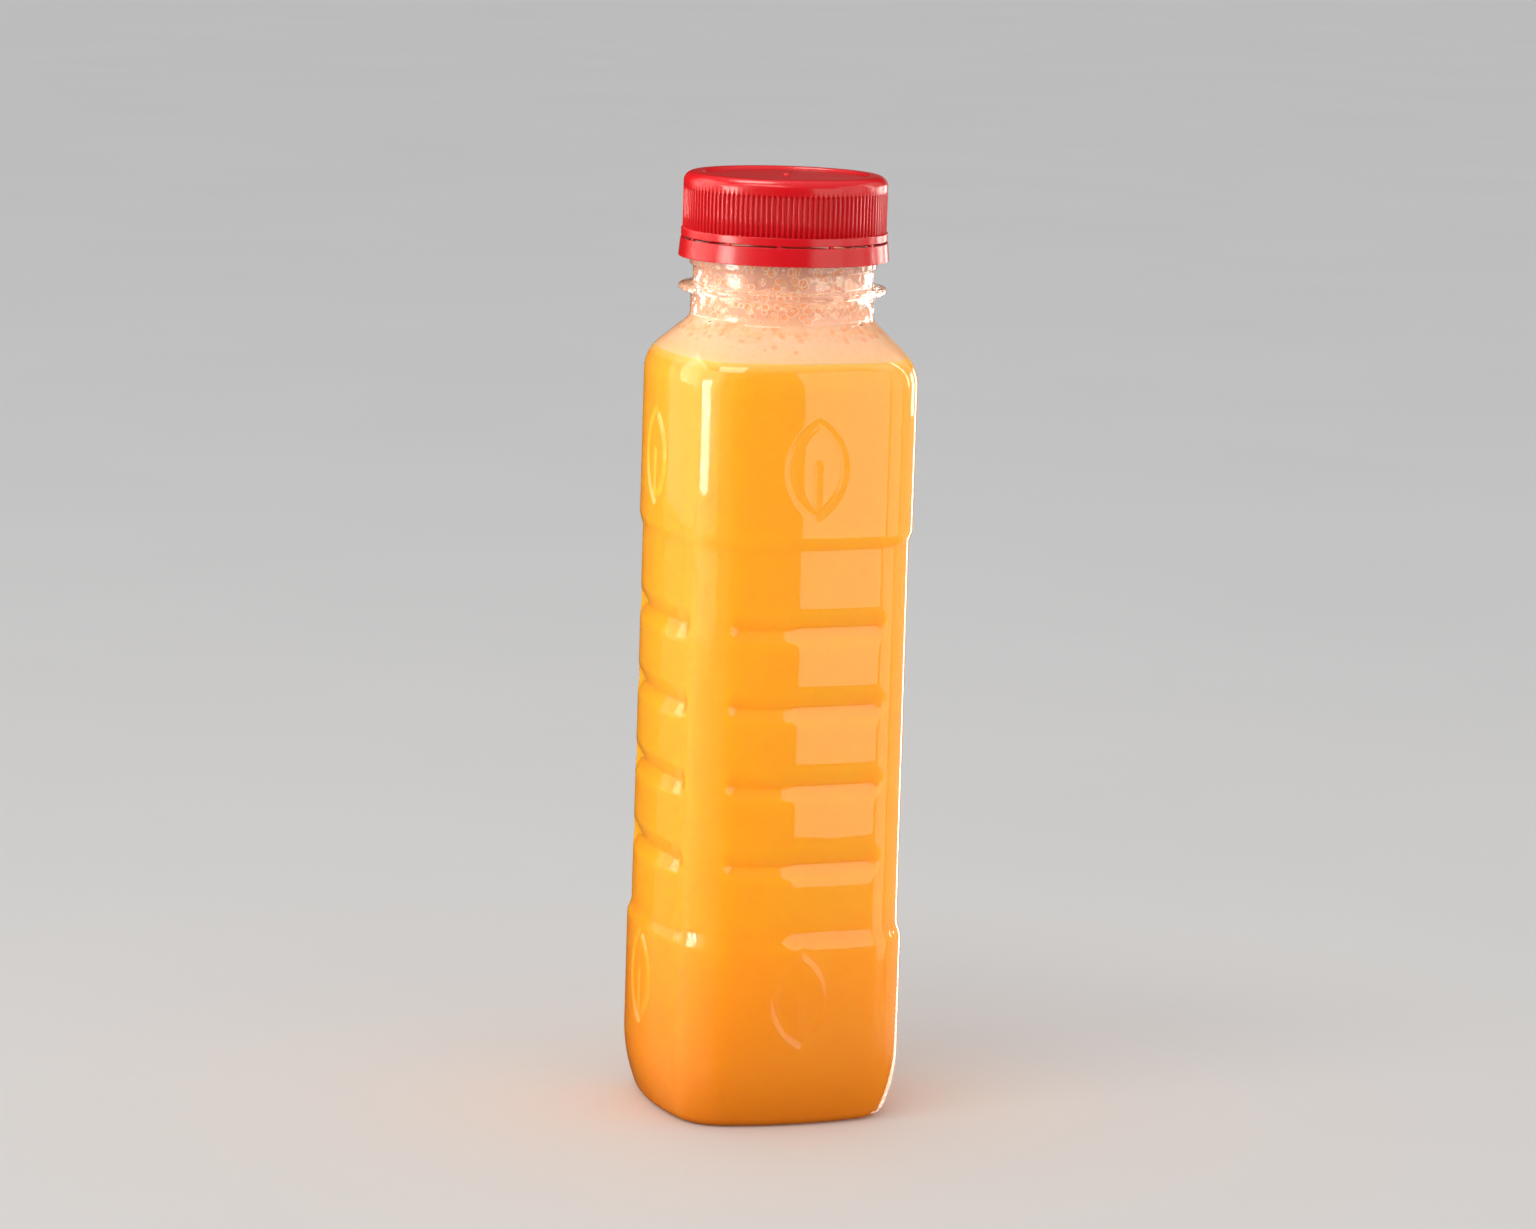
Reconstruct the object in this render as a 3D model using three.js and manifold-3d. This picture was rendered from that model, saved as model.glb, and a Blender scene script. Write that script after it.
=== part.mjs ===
// A square-shouldered clear bottle of orange juice with foam on top, shut by a ribbed screw cap.
// Units are millimetres and +Z is up. The origin is the middle of the face that the bottle stands on,
// and the four faces of the body look along +X, +Y, -X and -Y.
import * as THREE from "three";
import { mergeVertices } from "three/addons/utils/BufferGeometryUtils.js";
import Module from "manifold-3d";

const wasm = await Module();
wasm.setup();

// Driving dimensions of the body: half its width at the middle of a face, panel by panel, its wall,
// the gap between touching pieces, and how far a shape that cuts runs past what it cuts
const LOWER_HALF = 26.1;
const GRIP_LOW_HALF = 25.3;
const GRIP_HIGH_HALF = 25.05;
const UPPER_HALF = 25.7;
const FACE_RADIUS = 68;
const CORNER_RADIUS = 12.6;
const WALL = 0.8;
const GAP = 0.3;
const CUT_PAST = 1;

// Heights on the body
const LOWER_STEP = [37.35, 39.55];
const UPPER_STEP = [117.65, 119.6];
const SHOULDER_TOP = 161;

// The base: a tight curve at the standing ring, a long one into the wall, and a push-up inside the ring
const BASE_TOP = 14;
const BASE_EDGE_RADIUS = 2.8;
const BASE_LONG_RADIUS = 33.8;
const RING_WIDTH = 3.5;
const PUSH_UP = { edge: 2, edgeHeight: 1.2, radius: 9, height: 2.4, middle: 2.9 };

// The shoulder: a slope from the neck, rounded into the wall
const SHOULDER_SLOPE = THREE.MathUtils.degToRad(42);
const SHOULDER_TURN = Math.PI / 2 - SHOULDER_SLOPE;
const SHOULDER_ROUNDING = 9;
const SHOULDER_REACH = 27.4;

// Grip grooves, four to a face, deepest at their middle height
const GROOVE = { count: 4, top: 102.1, pitch: 15.9, above: 4, below: 3, depth: 1.4, straight: 14.5, end: 3 };

// A leaf pressed into the middle of each face, on the upper and on the lower panel
const LEAF = { halfWidth: 6.5, halfHeight: 10.2, band: 1.8, rib: 1.3, ribShare: 0.5, ribLift: 0.1, depth: 0.5 };
const LEAF_HEIGHTS = [27, 133.5];

// The neck, with the ring that carries the bottle while it is filled
const NECK_RADIUS = 18.45;
const BORE_RADIUS = 16.9;
const NECK_OUTLINE = [
  [NECK_RADIUS, 165.9],
  [20.7, 166.3],
  [20.9, 167],
  [20.6, 167.7],
  [18.1, 168.1],
  [18.1, 171.1],
  [18.8, 171.5],
  [18.8, 173.8],
  [18.2, 174.3],
  [18.2, 187.6],
  [17.8, 188.1],
];
const LIP_HEIGHT = 188.1;

// What is inside
const JUICE_LEVEL = 154.15;
const FOAM_TOP = 169;

// The cap, one moulding: a ribbed shell, and a tamper band that hangs from it by thin bridges
const CAP = { top: 190, topRadius: 18.3, rounding: 2, radius: 20.45, inside: 19.1, plate: 1.2 };
const CAP_PANEL = { radius: 16.2, depth: 0.4, nubRadius: 0.9, nubHeight: 0.35 };
const RIBS = { count: 120, root: 19.95, low: 178.7, high: 186.3, end: 187, tuck: 0.08 };
const SKIRT = { radius: 20.7, low: 177.1 };
const TAMPER_BAND = { topRadius: 20.8, lowRadius: 21.15, inside: 19.9, high: 176.75, low: 173.05 };
const BRIDGES = { count: 12, first: -111, width: 0.9, thickness: 0.7, height: 0.75, inset: 0.05 };
const CAP_SEGMENTS = 40;
const NUB_SEGMENTS = 12;

// Each ring of the body has one point for each of these directions, measured from the middle of a face
const FACE_ANGLES = [0, 6, 12, 21, 29, 45, 61, 69, 78, 84];
const COLUMNS = [0, 1, 2, 3].flatMap((face) => FACE_ANGLES.map((angle) => face * 90 + angle));

const UP = new THREE.Vector3(0, 0, 1);
const radians = THREE.MathUtils.degToRad;

// Where the rounded corner's centre lies on the diagonal of a section with this half width
function cornerCentre(half) {
  const faceCentre = half - FACE_RADIUS;
  const difference = FACE_RADIUS - CORNER_RADIUS;
  return (faceCentre + Math.sqrt(2 * difference ** 2 - faceCentre ** 2)) / 2;
}

// The point of a section whose outward normal has this angle, moved inwards by inset.
// Returns it in the frame of its own face: out from the axis, and along the face.
function facePoint(half, inset, angle) {
  const faceCentre = half - FACE_RADIUS;
  const corner = cornerCentre(half);
  const faceHalfAngle = Math.atan2(corner, corner - faceCentre);
  const side = Math.sign(angle);
  if (Math.abs(angle) <= faceHalfAngle) {
    return {
      out: faceCentre + (FACE_RADIUS - inset) * Math.cos(angle),
      along: (FACE_RADIUS - inset) * Math.sin(angle),
    };
  }
  return {
    out: corner + (CORNER_RADIUS - inset) * Math.cos(angle),
    along: side * corner + (CORNER_RADIUS - inset) * Math.sin(angle),
  };
}

// How deep the grip grooves are at a place on a face
function grooveDepth(along, z) {
  let depth = 0;
  for (let i = 0; i < GROOVE.count; i++) {
    const above = z - (GROOVE.top - i * GROOVE.pitch);
    const across = above / (above > 0 ? GROOVE.above : GROOVE.below);
    const past = Math.max(Math.abs(along) - GROOVE.straight, 0) / GROOVE.end;
    const reach = Math.min(Math.hypot(across, past), 1);
    depth += (GROOVE.depth * (1 + Math.cos(Math.PI * reach))) / 2;
  }
  return depth;
}

// Half the body's width at the middle of a face
function halfWidth(z) {
  const panels = [
    [0, LOWER_HALF],
    [LOWER_STEP[0], LOWER_HALF],
    [LOWER_STEP[1], GRIP_LOW_HALF],
    [UPPER_STEP[0], GRIP_HIGH_HALF],
    [UPPER_STEP[1], UPPER_HALF],
    [SHOULDER_TOP, UPPER_HALF],
  ];
  const above = panels.findIndex(([height]) => height > z);
  const [lowZ, lowHalf] = panels[above - 1];
  const [highZ, highHalf] = panels[above];
  return THREE.MathUtils.mapLinear(z, lowZ, highZ, lowHalf, highHalf);
}

// A ring of points round the body at a height, moved inwards by inset
function bodyRing(z, inset) {
  const half = halfWidth(z);
  return COLUMNS.map((degrees) => {
    const face = Math.round(degrees / 90);
    const angle = radians(degrees - 90 * face);
    const { along } = facePoint(half, 0, angle);
    const place = facePoint(half, inset + grooveDepth(along, z), angle);
    return new THREE.Vector3(place.out, place.along, z).applyAxisAngle(UP, radians(90 * face));
  });
}

function roundRing(radius, z) {
  return COLUMNS.map((_, i) => {
    const angle = (2 * Math.PI * i) / COLUMNS.length;
    return new THREE.Vector3(radius * Math.cos(angle), radius * Math.sin(angle), z);
  });
}

// The height at which the shoulder's rounding ends in the upright wall
const SHOULDER_DROP =
  (SHOULDER_REACH - NECK_RADIUS - SHOULDER_ROUNDING * (1 - Math.sin(SHOULDER_SLOPE))) * Math.tan(SHOULDER_SLOPE) +
  SHOULDER_ROUNDING * Math.cos(SHOULDER_SLOPE);
const RIM = SHOULDER_TOP - SHOULDER_DROP;

// A ring on the shoulder's rounding, where the surface has turned by this angle from upright
function shoulderRing(turn, inset, neck) {
  const radius = SHOULDER_ROUNDING - inset;
  const reach = SHOULDER_REACH - SHOULDER_ROUNDING + radius * Math.cos(turn);
  const share = (reach - neck) / (SHOULDER_REACH - inset - neck);
  const z = RIM + radius * Math.sin(turn);
  const wall = bodyRing(z, inset);
  return roundRing(neck, z).map((point, i) => point.lerp(wall[i], share));
}

// The height at which the shoulder's slope meets the neck
function kneeHeight(inset, neck) {
  return SHOULDER_TOP - inset / Math.cos(SHOULDER_SLOPE) - (neck - NECK_RADIUS) * Math.tan(SHOULDER_SLOPE);
}

// Rings from the middle of the base up to the rim, moved inwards from the outside by inset
function baseRings(inset) {
  const lean = Math.asin((BASE_TOP - BASE_EDGE_RADIUS) / (BASE_LONG_RADIUS - BASE_EDGE_RADIUS));
  const contact = BASE_LONG_RADIUS - (BASE_LONG_RADIUS - BASE_EDGE_RADIUS) * Math.cos(lean);
  const edge = BASE_EDGE_RADIUS - inset;
  const long = BASE_LONG_RADIUS - inset;
  const ringInside = contact + RING_WIDTH;
  const rings = [
    [new THREE.Vector3(0, 0, PUSH_UP.middle + inset)],
    roundRing(PUSH_UP.radius, PUSH_UP.height + inset),
    liftedRing(ringInside + PUSH_UP.edge, PUSH_UP.edgeHeight + inset),
    liftedRing(ringInside, inset),
    liftedRing(contact, inset),
  ];
  for (const share of [0.5, 1]) {
    const turn = share * (Math.PI / 2 - lean);
    rings.push(liftedRing(contact - edge * Math.sin(turn), BASE_EDGE_RADIUS - edge * Math.cos(turn)));
  }
  for (const share of [0.5, 0]) {
    const turn = share * lean;
    rings.push(liftedRing(BASE_LONG_RADIUS - long * Math.cos(turn), BASE_TOP - long * Math.sin(turn)));
  }
  return rings;
}

// A ring of the lowest panel's section at any height of the base
function liftedRing(inset, z) {
  return bodyRing(BASE_TOP, inset).map((point) => point.setZ(z));
}

function wallRings(inset) {
  const heights = [...LOWER_STEP];
  for (let i = GROOVE.count - 1; i >= 0; i--) {
    const middle = GROOVE.top - i * GROOVE.pitch;
    heights.push(middle - GROOVE.below, middle, middle + GROOVE.above / 2, middle + GROOVE.above);
  }
  heights.push(...UPPER_STEP, RIM);
  return heights.map((z) => bodyRing(z, inset));
}

function shoulderRings(inset, neck, turns) {
  return turns.map((turn) => shoulderRing(turn, inset, neck));
}

// A closed solid from rings that run from one end to the other. A ring of one point closes an end.
// Every quad is split the same way seen from outside and inside, and alike on both halves of a face.
function solidFromRings(rings) {
  const points = rings.flat();
  const starts = rings.map((_, i) => rings.slice(0, i).reduce((sum, ring) => sum + ring.length, 0));
  const count = COLUMNS.length;
  const perFace = FACE_ANGLES.length;
  const triangles = [];
  const addTriangle = (a, b, c) => {
    if (a !== b && b !== c && c !== a) triangles.push(a, b, c);
  };
  for (let i = 0; i + 1 < rings.length; i++) {
    const rises = rings[i + 1][0].z > rings[i][0].z;
    for (let j = 0; j < count; j++) {
      const pick = (ring, column) => starts[ring] + (rings[ring].length === 1 ? 0 : column % count);
      const [a, b, c, d] = [pick(i, j), pick(i, j + 1), pick(i + 1, j + 1), pick(i + 1, j)];
      const rightHalf = j % perFace < perFace / 2;
      if (rightHalf === rises) {
        addTriangle(a, b, c);
        addTriangle(a, c, d);
      } else {
        addTriangle(a, b, d);
        addTriangle(b, c, d);
      }
    }
  }
  return manifoldFrom(points.flatMap((point) => point.toArray()), triangles);
}

function manifoldFrom(positions, triangles) {
  return new wasm.Manifold(
    new wasm.Mesh({
      numProp: 3,
      vertProperties: new Float32Array(positions),
      triVerts: new Uint32Array(triangles),
    }),
  );
}

function manifoldFromGeometry(geometry) {
  const bare = geometry.clone();
  bare.deleteAttribute("normal");
  bare.deleteAttribute("uv");
  const merged = mergeVertices(bare, 1e-4);
  const index = merged.index.array;
  const triangles = [];
  for (let i = 0; i < index.length; i += 3) {
    const [a, b, c] = index.slice(i, i + 3);
    if (a !== b && b !== c && c !== a) triangles.push(a, b, c);
  }
  return manifoldFrom(merged.attributes.position.array, triangles);
}

function geometryFrom(manifold) {
  const mesh = manifold.getMesh();
  const geometry = new THREE.BufferGeometry();
  geometry.setAttribute("position", new THREE.BufferAttribute(new Float32Array(mesh.vertProperties), 3));
  geometry.setIndex(new THREE.BufferAttribute(new Uint32Array(mesh.triVerts), 1));
  geometry.computeVertexNormals();
  return geometry;
}

// A solid of revolution about Z from points given as radius and height
function turned(outline, segments) {
  const profile = outline.map(([radius, z]) => new THREE.Vector2(radius, z));
  const geometry = new THREE.LatheGeometry(profile, segments);
  return manifoldFromGeometry(geometry.rotateX(Math.PI / 2));
}

// The leaf's outline: two arcs that meet in a point at each end, moved inwards by inset
function leafPath(path, inset) {
  const radius = (LEAF.halfWidth ** 2 + LEAF.halfHeight ** 2) / (2 * LEAF.halfWidth);
  const centre = radius - LEAF.halfWidth;
  const sweep = Math.acos(centre / (radius - inset));
  path.absarc(-centre, 0, radius - inset, -sweep, sweep, false);
  path.absarc(centre, 0, radius - inset, Math.PI - sweep, Math.PI + sweep, false);
  return path;
}

// A prism out through one face with the leaf's band, and its middle rib rising from the lower point
function leafPrism(height, face) {
  const reach = 2 * LOWER_HALF;
  const outline = leafPath(new THREE.Shape(), 0);
  outline.holes.push(leafPath(new THREE.Path(), LEAF.band));
  const band = new THREE.ExtrudeGeometry(outline, { depth: reach, bevelEnabled: false, curveSegments: 3 });
  const rib = new THREE.BoxGeometry(LEAF.rib, 2 * LEAF.halfHeight * LEAF.ribShare, reach);
  rib.translate(0, LEAF.halfHeight * (LEAF.ribShare + LEAF.ribLift - 1), reach / 2);
  const [placedBand, placedRib] = [band, rib].map((geometry) =>
    manifoldFromGeometry(geometry.rotateX(Math.PI / 2).translate(0, 0, height).rotateZ(radians(face))),
  );
  return placedBand.add(placedRib);
}

function outerRings() {
  const turns = [SHOULDER_TURN / 3, (2 * SHOULDER_TURN) / 3, SHOULDER_TURN];
  return [
    ...baseRings(0),
    ...wallRings(0),
    ...shoulderRings(0, NECK_RADIUS, turns),
    roundRing(NECK_RADIUS, kneeHeight(0, NECK_RADIUS)),
  ];
}

// The space that the wall leaves, or what fills it, up to the end of the shoulder's rounding
function innerRings(inset, neck, turns) {
  return [...baseRings(inset), ...wallRings(inset), ...shoulderRings(inset, neck, turns)];
}

function makeBottle() {
  const inside = innerRings(WALL, BORE_RADIUS, [SHOULDER_TURN / 2, SHOULDER_TURN]);
  inside.push(roundRing(BORE_RADIUS, kneeHeight(WALL, BORE_RADIUS)), roundRing(BORE_RADIUS, LIP_HEIGHT));
  const neck = NECK_OUTLINE.map(([radius, z]) => roundRing(radius, z));
  let bottle = solidFromRings([...outerRings(), ...neck, ...inside.reverse()]);
  const coreTop = [new THREE.Vector3(0, 0, RIM + CUT_PAST)];
  const core = solidFromRings([...innerRings(LEAF.depth, NECK_RADIUS, []), coreTop]);
  for (const height of LEAF_HEIGHTS) {
    for (const face of [0, 90, 180, 270]) {
      bottle = bottle.subtract(leafPrism(height, face).subtract(core));
    }
  }
  return bottle;
}

// How far the shoulder's rounding has turned at a height, for a surface this far inside
function turnAt(z, inset) {
  return Math.asin((z - RIM) / (SHOULDER_ROUNDING - inset));
}

function makeJuice() {
  const inset = WALL + GAP;
  const rings = innerRings(inset, BORE_RADIUS - GAP, [turnAt(JUICE_LEVEL, inset)]);
  return solidFromRings([...rings, [new THREE.Vector3(0, 0, JUICE_LEVEL)]]);
}

function makeFoam() {
  const inset = WALL + GAP;
  const radius = BORE_RADIUS - GAP;
  const low = JUICE_LEVEL + GAP;
  return solidFromRings([
    [new THREE.Vector3(0, 0, low)],
    ...shoulderRings(inset, radius, [turnAt(low, inset), SHOULDER_TURN]),
    roundRing(radius, kneeHeight(inset, radius)),
    roundRing(radius, FOAM_TOP),
    [new THREE.Vector3(0, 0, FOAM_TOP)],
  ]);
}

// The ribs round the cap: a ring of points that lie in turn on the crests and in the roots
function ribSolid() {
  const ring = (root, z) =>
    Array.from({ length: 2 * RIBS.count }, (_, i) => {
      const radius = i % 2 ? root : CAP.radius - RIBS.tuck / 2;
      const angle = (Math.PI * i) / RIBS.count;
      return [radius * Math.cos(angle), radius * Math.sin(angle), z];
    });
  const low = RIBS.low - RIBS.tuck;
  const high = RIBS.end + RIBS.tuck;
  const rings = [ring(RIBS.root, low), ring(RIBS.root, RIBS.high), ring(CAP.radius - RIBS.tuck / 2, high)];
  const count = 2 * RIBS.count;
  const bottom = rings.length * count;
  const triangles = [];
  for (let j = 0; j < count; j++) {
    const next = (j + 1) % count;
    for (let i = 0; i + 1 < rings.length; i++) {
      const [lower, upper] = [i * count, (i + 1) * count];
      triangles.push(lower + j, lower + next, upper + next, lower + j, upper + next, upper + j);
    }
    const last = (rings.length - 1) * count;
    triangles.push(bottom, next, j, bottom + 1, last + j, last + next);
  }
  return manifoldFrom([...rings.flat(2), 0, 0, low, 0, 0, high], triangles);
}

function makeCap() {
  const panelFloor = CAP.top - CAP_PANEL.depth;
  const rounding = [0, 45, 90].map((degrees) => [
    CAP.topRadius + (CAP.radius - CAP.topRadius) * Math.cos(radians(degrees)),
    CAP.top - CAP.rounding + CAP.rounding * Math.sin(radians(degrees)),
  ]);
  const inRibs = RIBS.root - RIBS.tuck;
  const outside = turned(
    [
      [0, SKIRT.low],
      [SKIRT.radius, SKIRT.low],
      [SKIRT.radius, RIBS.low],
      [inRibs, RIBS.low],
      [inRibs, RIBS.end],
      [CAP.radius, RIBS.end],
      ...rounding,
      [CAP_PANEL.radius + CAP_PANEL.depth, CAP.top],
      [CAP_PANEL.radius, panelFloor],
      [0, panelFloor],
    ],
    CAP_SEGMENTS,
  );
  const room = turned(
    [
      [0, SKIRT.low - CUT_PAST],
      [CAP.inside, SKIRT.low - CUT_PAST],
      [CAP.inside, CAP.top - CAP.plate - CAP_PANEL.depth],
      [0, CAP.top - CAP.plate - CAP_PANEL.depth],
    ],
    CAP_SEGMENTS,
  );
  const nub = turned(
    [
      [0, panelFloor - CAP.plate / 2],
      [CAP_PANEL.nubRadius, panelFloor - CAP.plate / 2],
      [CAP_PANEL.nubRadius, panelFloor + CAP_PANEL.nubHeight / 2],
      [CAP_PANEL.nubRadius / 2, panelFloor + CAP_PANEL.nubHeight],
      [0, panelFloor + CAP_PANEL.nubHeight],
    ],
    NUB_SEGMENTS,
  );
  const band = turned(
    [
      [TAMPER_BAND.inside, TAMPER_BAND.high],
      [TAMPER_BAND.inside, TAMPER_BAND.low],
      [TAMPER_BAND.lowRadius, TAMPER_BAND.low],
      [TAMPER_BAND.topRadius, TAMPER_BAND.high],
      [TAMPER_BAND.inside, TAMPER_BAND.high],
    ],
    CAP_SEGMENTS,
  );
  let cap = outside.add(ribSolid()).subtract(room).add(nub).add(band);
  const bridgeRadius = SKIRT.radius - BRIDGES.thickness / 2 - BRIDGES.inset;
  const bridgeMiddle = (SKIRT.low + TAMPER_BAND.high) / 2;
  for (let i = 0; i < BRIDGES.count; i++) {
    const bridge = new THREE.BoxGeometry(BRIDGES.thickness, BRIDGES.width, BRIDGES.height);
    bridge.translate(bridgeRadius, 0, bridgeMiddle);
    bridge.rotateZ(radians(BRIDGES.first + (360 * i) / BRIDGES.count));
    cap = cap.add(manifoldFromGeometry(bridge));
  }
  return cap;
}

function meshOf(name, manifold, look) {
  const mesh = new THREE.Mesh(geometryFrom(manifold), new THREE.MeshStandardMaterial(look));
  mesh.name = name;
  return mesh;
}

const clearPlastic = { color: 0xf6efe6, roughness: 0.05, metalness: 0, transparent: true, opacity: 0.3 };
const orangeJuice = { color: 0xf6921e, roughness: 0.35, metalness: 0 };
const juiceFoam = { color: 0xf9dfb4, roughness: 0.6, metalness: 0 };
const redPlastic = { color: 0xcc1421, roughness: 0.3, metalness: 0 };

const juiceBottle = new THREE.Group();
juiceBottle.add(
  meshOf("bottle", makeBottle(), clearPlastic),
  meshOf("juice", makeJuice(), orangeJuice),
  meshOf("foam", makeFoam(), juiceFoam),
  meshOf("cap", makeCap(), redPlastic),
);

export default juiceBottle;
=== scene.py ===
import math
import random

import bmesh
import bpy
from mathutils import Matrix, Vector, kdtree


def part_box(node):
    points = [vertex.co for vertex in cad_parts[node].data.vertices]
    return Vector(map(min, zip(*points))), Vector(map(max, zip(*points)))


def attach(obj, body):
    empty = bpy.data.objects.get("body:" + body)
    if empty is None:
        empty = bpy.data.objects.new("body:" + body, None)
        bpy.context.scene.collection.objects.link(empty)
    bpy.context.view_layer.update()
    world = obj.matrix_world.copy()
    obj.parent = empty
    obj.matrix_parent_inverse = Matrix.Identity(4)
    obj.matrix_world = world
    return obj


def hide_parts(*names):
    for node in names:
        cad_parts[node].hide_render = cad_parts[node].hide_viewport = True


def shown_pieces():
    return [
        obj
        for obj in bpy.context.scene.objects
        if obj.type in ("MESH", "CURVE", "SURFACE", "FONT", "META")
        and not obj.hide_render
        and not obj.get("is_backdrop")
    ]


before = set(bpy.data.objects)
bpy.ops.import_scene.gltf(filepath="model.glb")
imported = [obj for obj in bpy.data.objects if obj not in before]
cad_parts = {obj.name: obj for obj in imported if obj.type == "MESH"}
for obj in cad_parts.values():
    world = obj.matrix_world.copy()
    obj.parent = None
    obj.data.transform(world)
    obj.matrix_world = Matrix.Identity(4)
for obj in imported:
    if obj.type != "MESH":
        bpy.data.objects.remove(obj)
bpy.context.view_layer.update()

# The body: half its width at the middle of a face, panel by panel, in metres
LOWER_HALF = 0.0261
GRIP_LOW_HALF = 0.0253
GRIP_HIGH_HALF = 0.02505
UPPER_HALF = 0.0257
FACE_RADIUS = 0.068
CORNER_RADIUS = 0.0126
WALL = 0.0008

# Heights on the body
LOWER_STEP = (0.03735, 0.03955)
UPPER_STEP = (0.11765, 0.1196)
STEP_ROUNDING = 0.0006
SHOULDER_TOP = 0.161

# The base: a tight curve at the standing ring, a long one into the wall, and a push-up inside the ring
BASE_TOP = 0.014
BASE_EDGE_RADIUS = 0.0028
BASE_LONG_RADIUS = 0.0338
BASE_LEAN = math.asin((BASE_TOP - BASE_EDGE_RADIUS) / (BASE_LONG_RADIUS - BASE_EDGE_RADIUS))
RING_WIDTH = 0.0035
PUSH_UP_EDGE = (0.002, 0.0012)
PUSH_UP_MIDDLE = (0.009, 0.0024)
PUSH_UP_HEIGHT = 0.0029

# The shoulder: a slope from the neck, rounded into the wall below and filleted into the neck above
SHOULDER_SLOPE = math.radians(42)
SHOULDER_TURN = math.pi / 2 - SHOULDER_SLOPE
SHOULDER_ROUNDING = 0.009
SHOULDER_REACH = 0.0274
KNEE_FILLET = 0.0009

# Grip grooves, four to a face, deepest at their middle height
GROOVE_HEIGHTS = [0.1016 - 0.0159 * i for i in range(4)]
GROOVE_ABOVE = 0.0035
GROOVE_BELOW = 0.003
GROOVE_DEPTH = 0.0012
GROOVE_STRAIGHT = 0.0145
GROOVE_END = 0.0024
GROOVE_CREASE = 0.09

# A leaf pressed into the middle of each face, on the upper and on the lower panel
LEAF_HEIGHTS = (0.027, 0.1335)
LEAF_HALF_WIDTH = 0.0065
LEAF_HALF_HEIGHT = 0.0102
LEAF_BAND = 0.0018
LEAF_RIB = (-0.0092, 0.001)
LEAF_RIB_WIDTH = 0.0013
LEAF_DEPTH = 0.00055
LEAF_EDGE = 0.0004
LEAF_MARGIN = 0.001
LEAF_SEARCH_DEPTH = 0.00072

# The neck, with the ring that carries the bottle while it is filled, as radius and height
NECK_RADIUS = 0.01845
BORE_RADIUS = 0.0169
LIP_HEIGHT = 0.1881
BORE_TOP = 0.1875
NECK_ROUNDING = 0.0003
NECK_OUTLINE = [
    (0.01845, 0.1659), (0.0205, 0.1663), (0.0209, 0.1667), (0.0209, 0.1673), (0.0206, 0.1676),
    (0.0181, 0.1679), (0.0181, 0.1711), (0.0188, 0.1715), (0.0188, 0.1738), (0.0182, 0.1742),
    (0.0182, 0.1876), (0.0178, LIP_HEIGHT), (0.0172, LIP_HEIGHT), (BORE_RADIUS, 0.1878),
]

# What is inside reaches just into the wall, so that no air shows between them
JUICE_INSET = 0.0006
JUICE_SMOOTHNESS = 0.75
FOAM_INSET = 0.00065
FOAM_BORE_RADIUS = 0.01702
JUICE_LEVEL = 0.15415
FOAM_OVERLAP = 0.0008
FOAM_TOP = 0.169
FILM_TOP = 0.1735
FILM_WIDTH = 0.0005

# The foam's bubbles: their number, lowest, highest and commonest height, and smallest and largest radius
FOAM_BUBBLES = [
    (500, 0.1565, 0.1612, 0.1611, 0.00015, 0.00028),
    (210, 0.1572, 0.1612, 0.1606, 0.0003, 0.0006),
    (420, 0.1612, 0.1725, 0.1670, 0.0003, 0.0006),
    (150, 0.1616, 0.1715, 0.1660, 0.0006, 0.0011),
]

# Each bubble's hollow: how far it reaches and how deep it is in its own radii, how steep its edge is,
# and how far from the axis the search for its place on the foam starts
BUBBLE_REACH = 1.35
BUBBLE_DEPTH = 0.3
BUBBLE_STEEPNESS = 2.2
BUBBLE_SEARCH_RADIUS = 0.02

# The cap: a shell with flutes between its ribs, and a tamper band that hangs from it by thin bridges
CAP_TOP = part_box("cap")[1].z
CAP_TOP_RADIUS = 0.0183
CAP_ROUNDING = 0.002
CAP_RADIUS = 0.02045
CAP_INSIDE = 0.0191
CAP_CEILING = 0.1884
PANEL_RADIUS = 0.0162
PANEL_DEPTH = 0.0004
PANEL_FLAT_EDGE = 0.0012
NUB_RADIUS = 0.0009
NUB_HEIGHT = 0.00035
CAP_TOP_EASE = 0.0003
RIB_COUNT = 120
FLUTE_DEPTH = 0.00048
FLUTE_HALF_SHARE = 0.36
FLUTE_LOW = 0.1787
FLUTE_HIGH = 0.1863
FLUTE_END = 0.0007
FLUTE_HOLD = (0.0001, 0.0004)
FLUTE_TOP_TURNS = (0, 25, 45, 65, 90)
RIB_COLUMNS = (0, 0.18, 0.30, 0.36, 0.5, 0.64, 0.70, 0.82)
SKIRT_RADIUS = 0.0207
SKIRT_LOW = 0.1771
SKIRT_EASE = 0.00015
SKIRT_EASED_STEPS = 3
LEDGE_START = CAP_RADIUS - 0.0001
BAND_TOP_RADIUS = 0.0208
BAND_LOW_RADIUS = 0.02115
BAND_INSIDE = 0.0199
BAND_HIGH = 0.17675
BAND_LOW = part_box("cap")[0].z
BAND_EASE = 0.00018
BRIDGE_COUNT = 12
BRIDGE_FIRST = math.radians(-111)
BRIDGE_SIZE = (0.0007, 0.0009, 0.0007)
BRIDGE_RADIUS = 0.0203
BRIDGE_EASE = 0.0001

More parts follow.
